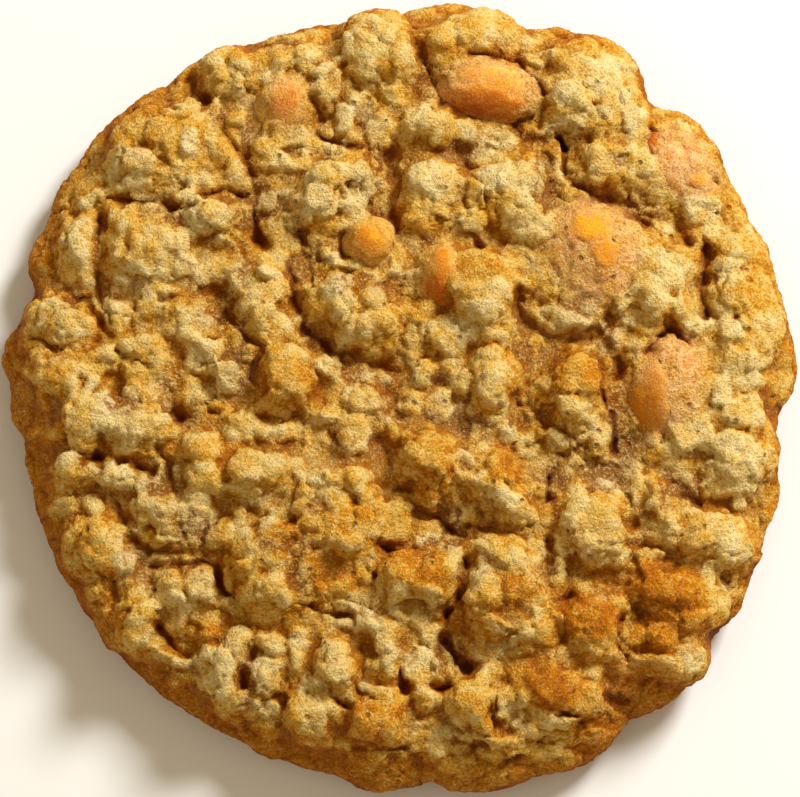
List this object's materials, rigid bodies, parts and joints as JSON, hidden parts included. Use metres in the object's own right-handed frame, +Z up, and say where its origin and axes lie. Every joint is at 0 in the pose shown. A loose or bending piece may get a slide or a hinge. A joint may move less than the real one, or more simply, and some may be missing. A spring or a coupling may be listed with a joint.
{
  "type": "oatmeal butterscotch cookie",
  "caption": "Round craggy oatmeal cookie with butterscotch chips half sunk in its top, lying flat on a smooth underside; a sweet snack",
  "frame": {"origin": "on the surface that the cookie lies on, under the middle of its width and depth", "axes": "+Z up through the cookie's thickness; +X to the right and +Y away from the viewer, seen from above with the chips in the far half"},
  "size_m": [0.0796, 0.08, 0.0125],
  "materials": {
    "oat_dough": "dry baked oat dough, rough and grainy, toasted brown on its raised clumps and slightly moist between them",
    "butterscotch": "softened butterscotch, smooth with a faint gloss, partly filmed with dough"
  },
  "bodies": {
    "root": {"dough": "oat_dough", "chip_1": "butterscotch", "chip_2": "butterscotch", "chip_3": "butterscotch", "chip_4": "butterscotch", "chip_5": "butterscotch", "chip_6": "butterscotch", "chip_7": "butterscotch"}
  },
  "joints": []
}
